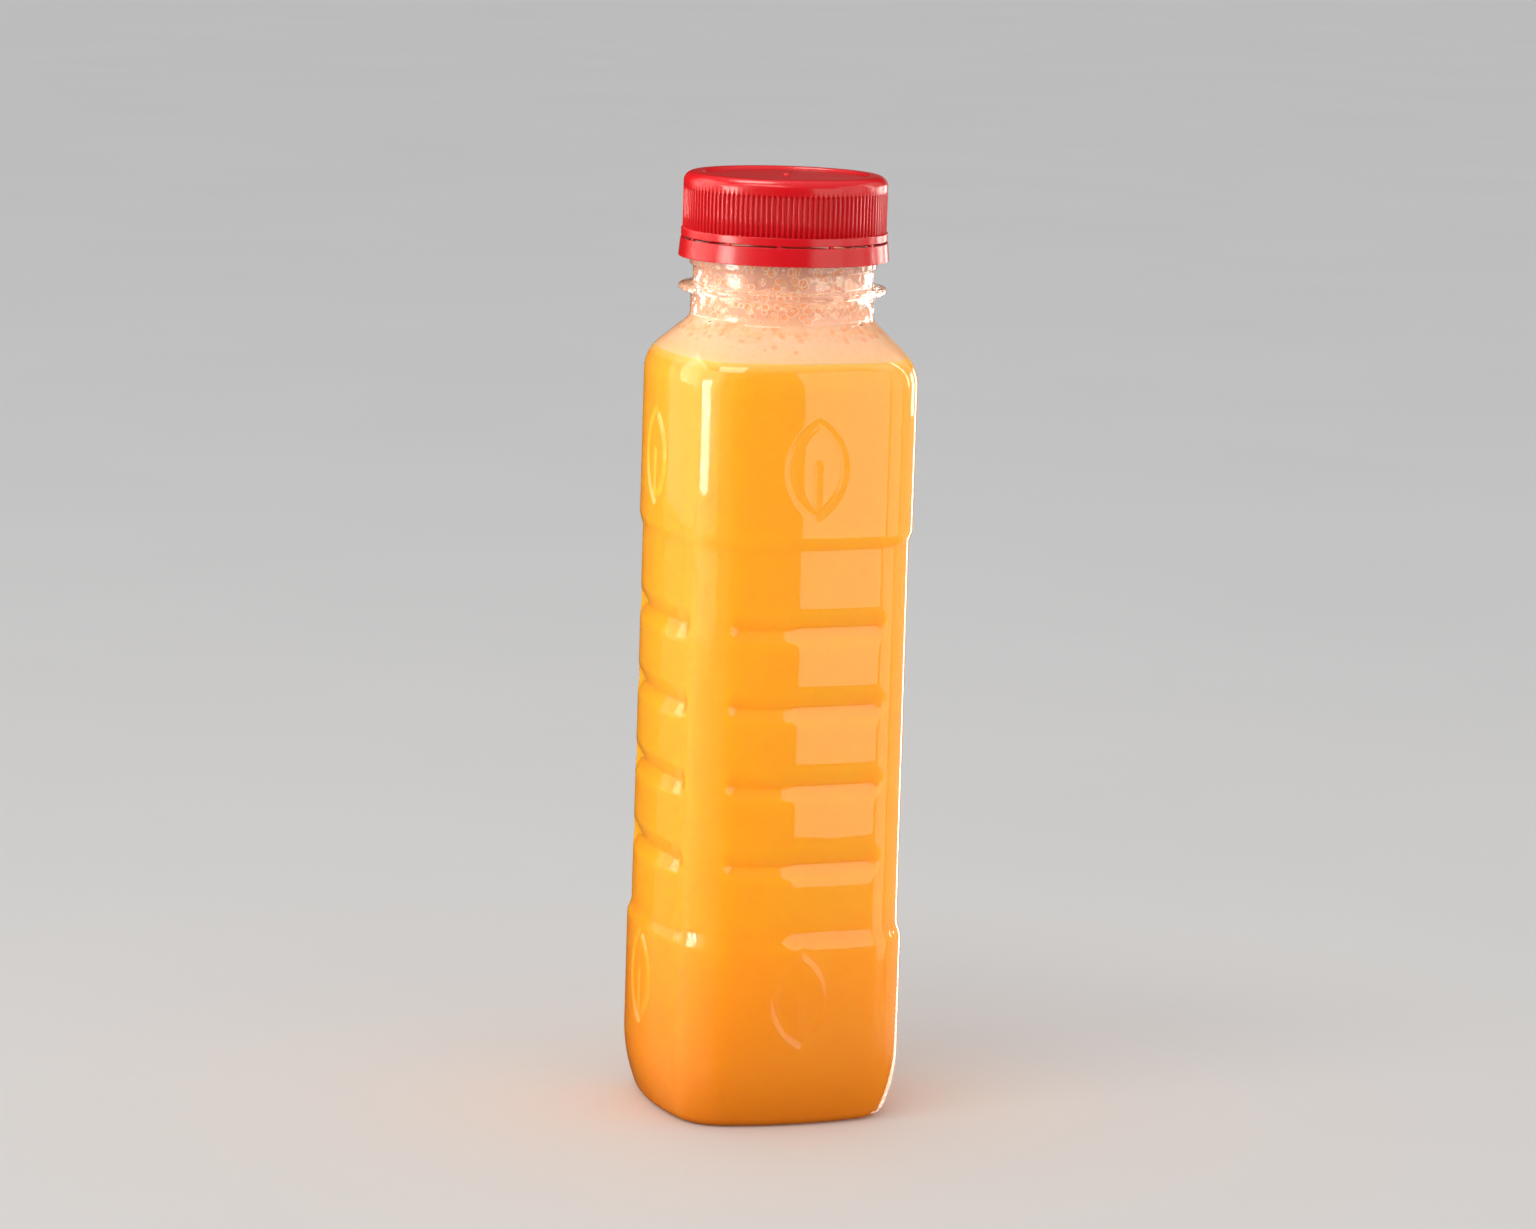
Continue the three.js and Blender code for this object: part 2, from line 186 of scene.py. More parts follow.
# How finely each piece is meshed: columns over half a face, the groove ends and a corner's middle,
# rows over each curve, and the spacing of the other rows
BOTTLE_STEPS = (10, 7, 8)
FOAM_STEPS = (36, 10, 24)
BAND_COLUMNS = 180
OUTSIDE_CURVE = 8
INSIDE_SHOULDER_CURVE = 5
HIDDEN_CURVE = 4
FOAM_ROUNDING_TURN = 0.06
FOAM_SLOPE_SHARE = 0.04
CAP_RIM_TURN = math.radians(11.25)
GROOVE_END_TURN = math.radians(15)
FINE_ROW = 0.0003
GROOVE_ROW = 0.00042
WALL_ROW = 0.0014
HIDDEN_ROW = 0.004
LEAF_CUTS = 4
NEAR = 1e-7

# An eased corner of an outline: its largest share of a side, its steps, and, as multiples of its own reach,
# how long a side has to be to get a point that holds it flat, and where that point lies
EASED_SHARE = 0.45
EASED_STEPS = 4
LONG_SIDE = 3
FLAT_HOLD = 1.4

# The camera of the photograph, on a sensor 36 mm wide
CAMERA_AZIMUTH = math.radians(18.458)
CAMERA_DISTANCE = 1.09996
CAMERA_HEIGHT = 0.27703
CAMERA_PITCH = math.radians(9.114)
CAMERA_YAW = math.radians(-0.048)
CAMERA_ROLL = math.radians(1.773)
CAMERA_LENS = 129.06


def make_camera():
    heading = CAMERA_AZIMUTH + CAMERA_YAW
    flat = math.cos(CAMERA_PITCH)
    forward = Vector((math.sin(heading) * flat, math.cos(heading) * flat, -math.sin(CAMERA_PITCH)))
    level = Vector((math.cos(heading), -math.sin(heading), 0))
    upright = level.cross(forward)
    right = level * math.cos(CAMERA_ROLL) + upright * math.sin(CAMERA_ROLL)
    up = upright * math.cos(CAMERA_ROLL) - level * math.sin(CAMERA_ROLL)
    data = bpy.data.cameras.new("camera")
    data.lens = CAMERA_LENS
    data.sensor_width = 36
    camera = bpy.data.objects.new("camera", data)
    bpy.context.scene.collection.objects.link(camera)
    camera.matrix_world = Matrix((right, up, -forward)).transposed().to_4x4()
    camera.location = (
        -CAMERA_DISTANCE * math.sin(CAMERA_AZIMUTH),
        -CAMERA_DISTANCE * math.cos(CAMERA_AZIMUTH),
        CAMERA_HEIGHT,
    )
    bpy.context.scene.camera = camera


make_camera()

# The room: its pale colour, and what reflections show instead near and below the horizon and low down behind
ROOM = (0.96, 0.97, 1, 1)
MIRRORED_LOW = (0.07, 0.05, 0.04, 1)
MIRRORED_RISE = (math.radians(25), math.radians(75))
BACKDROP = (0.5, 0.48, 0.45, 1)
BACKDROP_HEADING = math.radians(32)
BACKDROP_FALL = -0.17
BACKDROP_TURNS = (12, 18)
ROOM_STRENGTH = 0.68

# Lamps for the bottle alone, for the cap alone and for everything: each one's azimuth, 0 at -Y and 90 at +X,
# its distance, the heights of its lower and upper edge, half the angle that it fills, and its radiance
BOTTLE_LAMPS = {
    "front_right_softbox": (31, 0.45, -0.042, 0.42, 19, 1.6),
    "right_softbox": (66, 0.5, -0.1, 0.55, 14, 1.2),
    "left_softbox": (-76, 0.5, 0.04, 0.55, 12, 0.9),
    "left_softbox_middle": (-76, 0.52, -0.01, 0.55, 22, 0.65),
    "left_softbox_edge": (-70, 0.54, -0.35, 0.55, 36, 0.2),
    "back_left_softbox": (-124, 0.5, 0.02, 0.55, 27, 0.45),
    "back_left_softbox_edge": (-122, 0.52, -0.4, 0.55, 29, 0.17),
    "back_left_bright": (-122, 0.49, 0.11, 0.55, 20, 1.7),
    "back_right_softbox": (103, 0.5, -0.14, 0.5, 22, 0.5),
    "back_right_bright": (96, 0.48, 0.1, 0.5, 2.5, 6),
    "band_edge_light": (113, 0.47, 0.085, 0.24, 6, 6),
    "back_right_strip": (132, 0.5, -0.3, 0.22, 4.5, 5.5),
    "left_key": (-83, 0.5, 0.06, 0.3, 9, 9),
}
CAP_LAMP = (-132, 0.25, 0.75, 1.05, 35, 8)
HIGH_LAMP = (-50, 0.7, 0.95, 1.25, 30, 4.5)
LAMP_COLOUR = (1, 0.95, 0.86)
BOTTLE_MIDDLE = 0.1

# Heights between which the finishes change: the wall's ripples, then the juice, with painted shade darkest at
# its base, then the foam, with painted shade up the neck and under the cap
RIPPLE_FADE = (0.006, 0.034)
JUICE_BASE_SHADE = (0, 0.045)
JUICE_SHADE_FADE = (0.03, 0.15)
JUICE_NEAR_FOAM = (0.1525, 0.1546)
JUICE_OVER_BASE = (0, 0.025)
JUICE_UNDER_FOAM = (0.147, 0.153)
FROTH_NEAR_JUICE = (0.1545, 0.158)
FROTH_SHADE_IN_NECK = (0.160, 0.163)
FROTH_SHADE_UNDER_CAP = (0.165, 0.168)
SMALL_BUBBLES = (0.1545, 0.1600)
LARGE_BUBBLES = (0.1608, 0.1618)

# The foam's painted bubbles: cells to a metre, how fast a bubble grows with its cell's chance, and, in cells,
# its largest radius and its rim's width
SMALL_CELLS = 520
LARGE_CELLS = 420
CELL_GROWTH = 1.2
CELL_LARGEST = 0.46
CELL_RIM = 0.1

# The floor lies just under the standing ring
FLOOR_HALF_WIDTH = 8
FLOOR_HEIGHT = -0.0001


class Direction:
    """One column of points: its face, its normal's angle there, and its share of a full turn."""

    def __init__(self, angle, share):
        self.face = round(angle / (math.pi / 2))
        self.angle = angle - self.face * math.pi / 2
        self.share = share


def directions(steps):
    """Columns round the body: over half a face, the groove ends beside it, and the middle of the corner."""
    face_steps, end_steps, corner_steps = steps
    half_face = math.atan2(corner_centre(UPPER_HALF), corner_centre(UPPER_HALF) - UPPER_HALF + FACE_RADIUS)
    stops = [0, half_face, half_face + GROOVE_END_TURN]
    stops += [math.pi / 2 - stop for stop in reversed(stops)]
    counts = (face_steps, end_steps, corner_steps, end_steps, face_steps)
    quarter = [0]
    for low, high, count in zip(stops, stops[1:], counts):
        quarter += spaced(low, high, (high - low) / count)
    quarter.pop()
    angles = [face * math.pi / 2 + angle for face in range(4) for angle in quarter]
    return [Direction(angle, i / len(angles)) for i, angle in enumerate(angles)]


def even_directions(count):
    return [Direction(2 * math.pi * i / count, i / count) for i in range(count)]


def corner_centre(half):
    """Where the rounded corner's centre lies on the diagonal of a section with this half width."""
    face_centre = half - FACE_RADIUS
    difference = FACE_RADIUS - CORNER_RADIUS
    return (face_centre + math.sqrt(2 * difference**2 - face_centre**2)) / 2


def face_point(half, inset, angle):
    """The point of a section whose outward normal has this angle: out from the axis, and along the face."""
    face_centre = half - FACE_RADIUS
    corner = corner_centre(half)
    if abs(angle) <= math.atan2(corner, corner - face_centre):
        radius = FACE_RADIUS - inset
        return face_centre + radius * math.cos(angle), radius * math.sin(angle)
    radius = CORNER_RADIUS - inset
    return corner + radius * math.cos(angle), math.copysign(corner, angle) + radius * math.sin(angle)


def crease(reach):
    """A groove's section: a straight slope from 1 at its middle to 0 at its edge, eased at both."""
    if reach < GROOVE_CREASE:
        return 1 - GROOVE_CREASE / 2 - reach**2 / (2 * GROOVE_CREASE)
    if reach > 1 - GROOVE_CREASE:
        return max(1 + GROOVE_CREASE - reach, 0) ** 2 / (4 * GROOVE_CREASE)
    return 1 - reach


def groove_depth(along, z):
    """How deep the grip grooves are at a place on a face."""
    depth = 0
    for middle in GROOVE_HEIGHTS:
        across = (z - middle) / (GROOVE_ABOVE if z > middle else GROOVE_BELOW)
        past = max(abs(along) - GROOVE_STRAIGHT, 0) / GROOVE_END
        depth += GROOVE_DEPTH * crease(math.hypot(across, past))
    return depth


def ease(value):
    value = min(max(value, 0), 1)
    return value * value * (3 - 2 * value)


def half_width(z):
    """Half the body's width at the middle of a face, with the two steps eased."""
    grip_share = min(max((z - LOWER_STEP[1]) / (UPPER_STEP[0] - LOWER_STEP[1]), 0), 1)
    grip = GRIP_LOW_HALF + (GRIP_HIGH_HALF - GRIP_LOW_HALF) * grip_share
    if z < (LOWER_STEP[1] + UPPER_STEP[0]) / 2:
        (low, high), panel, towards_grip = LOWER_STEP, LOWER_HALF, 1
    else:
        (low, high), panel, towards_grip = UPPER_STEP, UPPER_HALF, 0
    share = ease((z - low + STEP_ROUNDING) / (high - low + 2 * STEP_ROUNDING))
    grip_part = share if towards_grip else 1 - share
    return panel + (grip - panel) * grip_part


def turned_to_face(out, along, z, face):
    angle = face * math.pi / 2
    cosine, sine = math.cos(angle), math.sin(angle)
    return Vector((out * cosine - along * sine, out * sine + along * cosine, z))


def body_ring(z, inset, height=None):
    """A ring of the body's section at z, moved inwards by inset and set at another height if one is given."""
    half = half_width(z)
    level = z if height is None else height

    def place(direction):
        along = face_point(half, 0, direction.angle)[1]
        depth = inset + groove_depth(along, z)
        out, along = face_point(half, depth, direction.angle)
        return turned_to_face(out, along, level, direction.face)

    return place


def round_ring(radius, z):
    def place(direction):
        angle = 2 * math.pi * direction.share
        return Vector((radius * math.cos(angle), radius * math.sin(angle), z))

    return place


def between(first, second, share):
    return lambda direction: first(direction).lerp(second(direction), share)


def bend_through(first, corner, last, share):
    """A ring on the curve that leaves first, bends towards corner and ends at last."""
    return between(between(first, corner, share), between(corner, last, share), share)


SHOULDER_DROP = (
    SHOULDER_REACH - NECK_RADIUS - SHOULDER_ROUNDING * (1 - math.sin(SHOULDER_SLOPE))
) * math.tan(SHOULDER_SLOPE) + SHOULDER_ROUNDING * math.cos(SHOULDER_SLOPE)
RIM = SHOULDER_TOP - SHOULDER_DROP


def shoulder_ring(turn, inset, neck):
    """A ring on the shoulder's rounding, where the surface has turned by this angle from upright."""
    radius = SHOULDER_ROUNDING - inset
    reach = SHOULDER_REACH - SHOULDER_ROUNDING + radius * math.cos(turn)
    share = (reach - neck) / (SHOULDER_REACH - inset - neck)
    z = RIM + radius * math.sin(turn)
    return between(round_ring(neck, z), body_ring(z, inset), share)


def knee_height(inset, neck):
    """The height at which the shoulder's slope meets the neck."""
    return SHOULDER_TOP - inset / math.cos(SHOULDER_SLOPE) - (neck - NECK_RADIUS) * math.tan(SHOULDER_SLOPE)


def spaced(low, high, step):
    """Values from just past low up to high, in equal steps no larger than step."""
    count = max(1, math.ceil((high - low) / step - NEAR))
    return [low + (high - low) * i / count for i in range(1, count + 1)]


def base_rings(inset, steps):
    """Rings from the middle of the base up to where the wall is upright."""
    contact = BASE_LONG_RADIUS - (BASE_LONG_RADIUS - BASE_EDGE_RADIUS) * math.cos(BASE_LEAN)
    edge = BASE_EDGE_RADIUS - inset
    long = BASE_LONG_RADIUS - inset
    ring_inside = contact + RING_WIDTH
    rings = [round_ring(0, PUSH_UP_HEIGHT + inset)]
    rings += [round_ring(PUSH_UP_MIDDLE[0], PUSH_UP_MIDDLE[1] + inset)]
    rings += [body_ring(BASE_TOP, ring_inside + PUSH_UP_EDGE[0], PUSH_UP_EDGE[1] + inset)]
    rings += [body_ring(BASE_TOP, ring_inside, inset), body_ring(BASE_TOP, contact, inset)]
    for turn in spaced(0, math.pi / 2 - BASE_LEAN, math.pi / 2 / steps):
        out = contact - edge * math.sin(turn)
        rings.append(body_ring(BASE_TOP, out, BASE_EDGE_RADIUS - edge * math.cos(turn)))
    for turn in reversed([0] + spaced(0, BASE_LEAN, BASE_LEAN / steps)[:-1]):
        out = BASE_LONG_RADIUS - long * math.cos(turn)
        rings.append(body_ring(BASE_TOP, out, BASE_TOP - long * math.sin(turn)))
    return rings


def wall_heights(panel_row, groove_row, step_row):
    """Heights of the wall's rows up to the rim, close together at the steps and in the grooves."""
    heights = [BASE_TOP]
    zones = [(LOWER_STEP[0] - STEP_ROUNDING, panel_row), (LOWER_STEP[1] + STEP_ROUNDING, step_row)]
    for middle in reversed(GROOVE_HEIGHTS):
        zones += [(middle - GROOVE_BELOW, panel_row), (middle + GROOVE_ABOVE, groove_row)]
    zones += [(UPPER_STEP[0] - STEP_ROUNDING, panel_row), (UPPER_STEP[1] + STEP_ROUNDING, step_row)]
    zones += [(RIM, panel_row)]
    for top, row in zones:
        heights += spaced(heights[-1], top, row)
    return heights[1:]


def shoulder_rings(inset, neck, steps):
    """Rings over the rounding, up the slope and through the fillet into the upright neck."""
    knee = knee_height(inset, neck)
    slope_start = shoulder_ring(SHOULDER_TURN, inset, neck)
    slope_length = (shoulder_ring_reach(inset) - neck) / math.cos(SHOULDER_SLOPE)
    corner = round_ring(neck, knee)
    rings = [shoulder_ring(turn, inset, neck) for turn in spaced(0, SHOULDER_TURN, SHOULDER_TURN / steps)]
    fillet_start = 1 - KNEE_FILLET / slope_length
    rings += [between(slope_start, corner, share) for share in spaced(0, fillet_start, fillet_start / steps)]
    neck_start = round_ring(neck, knee + KNEE_FILLET)
    last = rings[-1]
    rings += [bend_through(last, corner, neck_start, share) for share in spaced(0, 1, 1 / steps)]
    return rings


def shoulder_ring_reach(inset):
    return SHOULDER_REACH - SHOULDER_ROUNDING + (SHOULDER_ROUNDING - inset) * math.cos(SHOULDER_TURN)


def tube(columns, rings):
    """A bmesh skin with a row of points for each ring, from a grid that is wrapped round the axis."""
    bm = bmesh.new()
    across, up = len(columns), len(rings) - 1
    bmesh.ops.create_grid(bm, x_segments=across, y_segments=up, size=0.5)
    for vertex in bm.verts:
        column = round((vertex.co.x + 0.5) * across) % across
        row = round((vertex.co.y + 0.5) * up)
        vertex.co = rings[row](columns[column])
    bmesh.ops.remove_doubles(bm, verts=bm.verts, dist=NEAR)
    return bm


def rounded(outline, radius, steps=EASED_STEPS):
    """The outline with the corners between its ends eased over this distance, and long sides held flat."""
    points = [Vector(point) for point in outline]
    result = [points[0]]
    for before, corner, after in zip(points, points[1:], points[2:]):
        towards, onwards = before - corner, after - corner
        reach = min(radius, towards.length * EASED_SHARE, onwards.length * EASED_SHARE)
        start = corner + towards.normalized() * reach
        end = corner + onwards.normalized() * reach
        if towards.length > LONG_SIDE * reach:
            result.append(corner + towards.normalized() * reach * FLAT_HOLD)
        for i in range(steps + 1):
            share = i / steps
            result.append(start.lerp(corner, share).lerp(corner.lerp(end, share), share))
        if onwards.length > LONG_SIDE * reach:
            result.append(corner + onwards.normalized() * reach * FLAT_HOLD)
    return result + [points[-1]]


def wall_normal(point):
    """The way the wall faces beside a point of the body, as if it had neither steps nor grooves."""
    face, out, along = place_on_face(point)
    half = half_width(point.z)
    corner = corner_centre(half)
    angle = math.atan2(abs(along), out - half + FACE_RADIUS)
    if angle > math.atan2(corner, corner - half + FACE_RADIUS):
        angle = math.atan2(abs(along) - corner, out - corner)
    return turned_to_face(math.cos(angle), math.copysign(math.sin(angle), along), 0, face)


def soften_juice(mesh, top_turn):
    """Shades the juice as if its side were nearly smooth, as light that scatters in it evens out dents."""
    normals = []
    for vertex in mesh.vertices:
        normal = vertex.normal.copy()
        if BASE_TOP < vertex.co.z < RIM:
            normal = normal.lerp(wall_normal(vertex.co), JUICE_SMOOTHNESS).normalized()
        elif vertex.co.z > JUICE_LEVEL - NEAR and vertex.co.xy.length > BORE_RADIUS:
            normal = wall_normal(vertex.co) * math.cos(top_turn) + Vector((0, 0, math.sin(top_turn)))
        normals.append(normal)
    mesh.normals_split_custom_set_from_vertices(normals)


def finished(bm, name, material, replaced=()):
    """A smooth piece of the object from a closed bmesh, with faces that look outwards, riding on root."""
    bmesh.ops.recalc_face_normals(bm, faces=bm.faces)
    for face in bm.faces:
        face.smooth = True
    mesh = bpy.data.meshes.new(name)
    bm.to_mesh(mesh)
    bm.free()
    mesh.materials.append(material)
    piece = bpy.data.objects.new(name, mesh)
    bpy.context.scene.collection.objects.link(piece)
    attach(piece, "root")
    if replaced:
        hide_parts(*replaced)
    return piece


def leaf_relief(along, height):
    """How far the leaf is pressed in at a place on its face, measured from the leaf's middle."""
    arc = (LEAF_HALF_WIDTH**2 + LEAF_HALF_HEIGHT**2) / (2 * LEAF_HALF_WIDTH)
    inside = arc - max(math.hypot(along + arc - LEAF_HALF_WIDTH, height),
                       math.hypot(along - arc + LEAF_HALF_WIDTH, height))
    from_band = abs(inside - LEAF_BAND / 2) / (LEAF_BAND / 2 + LEAF_EDGE / 2)
    rib_low, rib_high = LEAF_RIB
    past_rib = max(rib_low - height, height - rib_high, 0)
    from_rib = math.hypot(along, past_rib) / (LEAF_RIB_WIDTH / 2 + LEAF_EDGE / 2)
    nearest = min(from_band, from_rib, 1)
    return LEAF_DEPTH * (1 + math.cos(math.pi * nearest)) / 2


def place_on_face(point):
    """The face that a point looks out of, with its distance out from the axis and along that face."""
    face = round(math.atan2(point.y, point.x) / (math.pi / 2)) % 4
    flat = turned_to_face(point.x, point.y, point.z, -face)
    return face, flat.x, flat.y


def leaf_at(point):
    """The middle height of the leaf whose patch holds this point of the outside, or None."""
    face, out, along = place_on_face(point)
    if abs(along) > LEAF_HALF_WIDTH + LEAF_MARGIN or out < half_width(point.z) - LEAF_SEARCH_DEPTH:
        return None
    for middle in LEAF_HEIGHTS:
        if abs(point.z - middle) < LEAF_HALF_HEIGHT + LEAF_MARGIN:
            return middle
    return None


def press_leaves(bm):
    """Refines the wall round each leaf, and moves its points to the pressed face."""
    faces = [face for face in bm.faces if leaf_at(face.calc_center_median()) is not None]
    edges = list({edge for face in faces for edge in face.edges})
    bmesh.ops.subdivide_edges(bm, edges=edges, cuts=LEAF_CUTS, use_grid_fill=True)
    for vertex in bm.verts:
        middle = leaf_at(vertex.co)
        if middle is not None:
            face, out, along = place_on_face(vertex.co)
            half = half_width(vertex.co.z)
            out = half - FACE_RADIUS + math.sqrt(FACE_RADIUS**2 - along**2)
            out -= leaf_relief(along, vertex.co.z - middle)
            vertex.co = turned_to_face(out, along, vertex.co.z, face)


def make_bottle(material):
    """The clear wall, outside and inside, from the middle of the base up over the lip and back down."""
    outside = base_rings(0, OUTSIDE_CURVE)
    outside += [body_ring(z, 0) for z in wall_heights(WALL_ROW, GROOVE_ROW, FINE_ROW)]
    outside += shoulder_rings(0, NECK_RADIUS, OUTSIDE_CURVE)
    outside += [round_ring(*point) for point in rounded(NECK_OUTLINE, NECK_ROUNDING)]
    inside = base_rings(WALL, HIDDEN_CURVE)
    inside += [body_ring(z, WALL) for z in wall_heights(HIDDEN_ROW, HIDDEN_ROW / 2, HIDDEN_ROW / 2)]
    inside += shoulder_rings(WALL, BORE_RADIUS, INSIDE_SHOULDER_CURVE)
    bore_start = knee_height(WALL, BORE_RADIUS) + KNEE_FILLET
    inside += [round_ring(BORE_RADIUS, z) for z in spaced(bore_start, BORE_TOP, HIDDEN_ROW)]
    bm = tube(directions(BOTTLE_STEPS), outside + inside[::-1])
    press_leaves(bm)
    return finished(bm, "bottle_wall", material, ["bottle"])


def make_juice(material):
    """The juice, up to its level under the foam."""
    rings = base_rings(JUICE_INSET, HIDDEN_CURVE)
    rings += [body_ring(z, JUICE_INSET) for z in wall_heights(HIDDEN_ROW, GROOVE_ROW, 2 * FINE_ROW)]
    top_turn = math.asin((JUICE_LEVEL - RIM) / (SHOULDER_ROUNDING - JUICE_INSET))
    turns = spaced(0, top_turn, top_turn / HIDDEN_CURVE)
    rings += [shoulder_ring(turn, JUICE_INSET, BORE_RADIUS) for turn in turns]
    rings.append(round_ring(0, JUICE_LEVEL))
    juice = finished(tube(directions(BOTTLE_STEPS), rings), "juice_body", material, ["juice"])
    soften_juice(juice.data, top_turn)
    return juice


def foam_bubbles():
    """Bubbles against the wall, as share of a turn, height and radius: fine on the shoulder, large above."""
    rng = random.Random(11)
    bubbles = []
    for count, low, high, common, small, large in FOAM_BUBBLES:
        for _ in range(count):
            height = rng.triangular(low, high, common)
            bubbles.append((rng.random(), height, rng.uniform(small, large)))
    return bubbles


def dent_bubbles(bm, bubbles):
    """Presses each bubble's round hollow into the foam, and notes how far inside a bubble each point is."""
    hollow = bm.verts.layers.float.new("bubble")
    tree = kdtree.KDTree(len(bm.verts))
    for i, vertex in enumerate(bm.verts):
        tree.insert(vertex.co, i)
    tree.balance()
    bm.verts.ensure_lookup_table()
    for share, height, radius in bubbles:
        angle = 2 * math.pi * share
        start = Vector((math.cos(angle), math.sin(angle), 0)) * BUBBLE_SEARCH_RADIUS
        start.z = height
        centre = tree.find(start)[0].copy()
        for _, index, distance in tree.find_range(centre, radius * BUBBLE_REACH):
            vertex = bm.verts[index]
            deep = ease((1 - distance / (radius * BUBBLE_REACH)) * BUBBLE_STEEPNESS)
            if deep > vertex[hollow]:
                inwards = Vector((-vertex.co.x, -vertex.co.y, 0)).normalized()
                vertex.co += inwards * radius * BUBBLE_DEPTH * (deep - vertex[hollow])
                vertex[hollow] = deep


def make_foam(material):
    """Foam from just under the juice's level up into the neck, with a thin film of it higher up the bore."""
    low = JUICE_LEVEL - FOAM_OVERLAP
    low_turn = math.asin((low - RIM) / (SHOULDER_ROUNDING - FOAM_INSET))
    knee = knee_height(FOAM_INSET, FOAM_BORE_RADIUS)
    slope_start = shoulder_ring(SHOULDER_TURN, FOAM_INSET, FOAM_BORE_RADIUS)
    corner = round_ring(FOAM_BORE_RADIUS, knee)
    rings = [round_ring(0, low)]
    turns = [low_turn] + spaced(low_turn, SHOULDER_TURN, FOAM_ROUNDING_TURN)
    rings += [shoulder_ring(turn, FOAM_INSET, FOAM_BORE_RADIUS) for turn in turns]
    rings += [between(slope_start, corner, share) for share in spaced(0, 1, FOAM_SLOPE_SHARE)]
    rings += [round_ring(FOAM_BORE_RADIUS, z) for z in spaced(knee, FILM_TOP, FINE_ROW)]
    rings += [round_ring(FOAM_BORE_RADIUS - FILM_WIDTH, z) for z in (FILM_TOP, FOAM_TOP)]
    rings += [round_ring(0, FOAM_TOP - FILM_WIDTH)]
    bm = tube(directions(FOAM_STEPS), rings)
    dent_bubbles(bm, foam_bubbles())
    return finished(bm, "foam_layer", material, ["foam"])


def flute_depth(share, z):
    """How deep the flutes between the cap's ribs are at this share of a turn and this height."""
    across = (share * RIB_COUNT) % 1
    across = min(across, 1 - across) / FLUTE_HALF_SHARE
    past = max(z - FLUTE_HIGH, 0) / FLUTE_END
    return FLUTE_DEPTH * math.sqrt(max(1 - across**2 - past**2, 0))


def fluted_ring(radius, z):
    return lambda direction: round_ring(radius - flute_depth(direction.share, z), z)(direction)


def rib_directions():
    """Columns round the cap, eight to a rib, close together where the flute's edges are."""
    shares = [(rib + column) / RIB_COUNT for rib in range(RIB_COUNT) for column in RIB_COLUMNS]
    return [Direction(2 * math.pi * share, share) for share in shares]


def make_cap(material):
    """The cap's shell, from the nub on its top down over the ribs and the ledge, and up its inside."""
    panel = CAP_TOP - PANEL_DEPTH
    nub = [(0, panel + NUB_HEIGHT), (NUB_RADIUS / 2, panel + NUB_HEIGHT), (NUB_RADIUS, panel)]
    edge = [(PANEL_RADIUS - PANEL_FLAT_EDGE, panel), (PANEL_RADIUS, panel)]
    rim = [(PANEL_RADIUS + PANEL_DEPTH, CAP_TOP), (CAP_TOP_RADIUS, CAP_TOP)]
    top = rounded(nub + edge + rim, CAP_TOP_EASE)
    for turn in spaced(0, math.pi / 2, CAP_RIM_TURN):
        out = CAP_TOP_RADIUS + (CAP_RADIUS - CAP_TOP_RADIUS) * math.sin(turn)
        top.append((out, CAP_TOP - CAP_ROUNDING * (1 - math.cos(turn))))
    rings = [round_ring(*point) for point in top]
    flute_top = FLUTE_HIGH + FLUTE_END
    heights = [flute_top - FLUTE_END * (1 - math.cos(math.radians(turn))) for turn in FLUTE_TOP_TURNS]
    heights += [FLUTE_HIGH - FLUTE_HOLD[1], (FLUTE_HIGH + FLUTE_LOW) / 2, FLUTE_LOW + FLUTE_HOLD[0]]
    rings += [fluted_ring(CAP_RADIUS, z) for z in heights]
    skirt = [(LEDGE_START, FLUTE_LOW), (SKIRT_RADIUS, FLUTE_LOW), (SKIRT_RADIUS, SKIRT_LOW),
             (CAP_INSIDE, SKIRT_LOW), (CAP_INSIDE, CAP_CEILING), (0, CAP_CEILING)]
    ledge = rounded(skirt, SKIRT_EASE, SKIRT_EASED_STEPS)
    rings += [fluted_ring(LEDGE_START, FLUTE_LOW)] + [round_ring(*point) for point in ledge[1:]]
    bm = tube(rib_directions(), rings)
    return finished(bm, "cap_shell", material, ["cap"])


def make_tamper_band(material):
    outline = [(BAND_INSIDE, BAND_HIGH), (BAND_TOP_RADIUS, BAND_HIGH), (BAND_LOW_RADIUS, BAND_LOW),
               (BAND_INSIDE, BAND_LOW), (BAND_INSIDE, (BAND_LOW + BAND_HIGH) / 2)]
    points = rounded(outline, BAND_EASE)
    rings = [round_ring(*point) for point in points + [points[0]]]
    return finished(tube(even_directions(BAND_COLUMNS), rings), "tamper_band", material)


def make_bridges(material):
    bm = bmesh.new()
    middle = (SKIRT_LOW + BAND_HIGH) / 2
    for i in range(BRIDGE_COUNT):
        cube = bmesh.ops.create_cube(bm, size=1)["verts"]
        bmesh.ops.scale(bm, vec=BRIDGE_SIZE, verts=cube)
        bmesh.ops.translate(bm, vec=(BRIDGE_RADIUS, 0, middle), verts=cube)
        turn = Matrix.Rotation(BRIDGE_FIRST + 2 * math.pi * i / BRIDGE_COUNT, 3, "Z")
        bmesh.ops.rotate(bm, cent=(0, 0, 0), matrix=turn, verts=cube)
    upright = [edge for edge in bm.edges if abs(edge.verts[0].co.z - edge.verts[1].co.z) > NEAR]
    bmesh.ops.bevel(
        bm, geom=upright, offset=BRIDGE_EASE, segments=2, profile=0.5, affect="EDGES", material=-1)
    return finished(bm, "band_bridges", material)


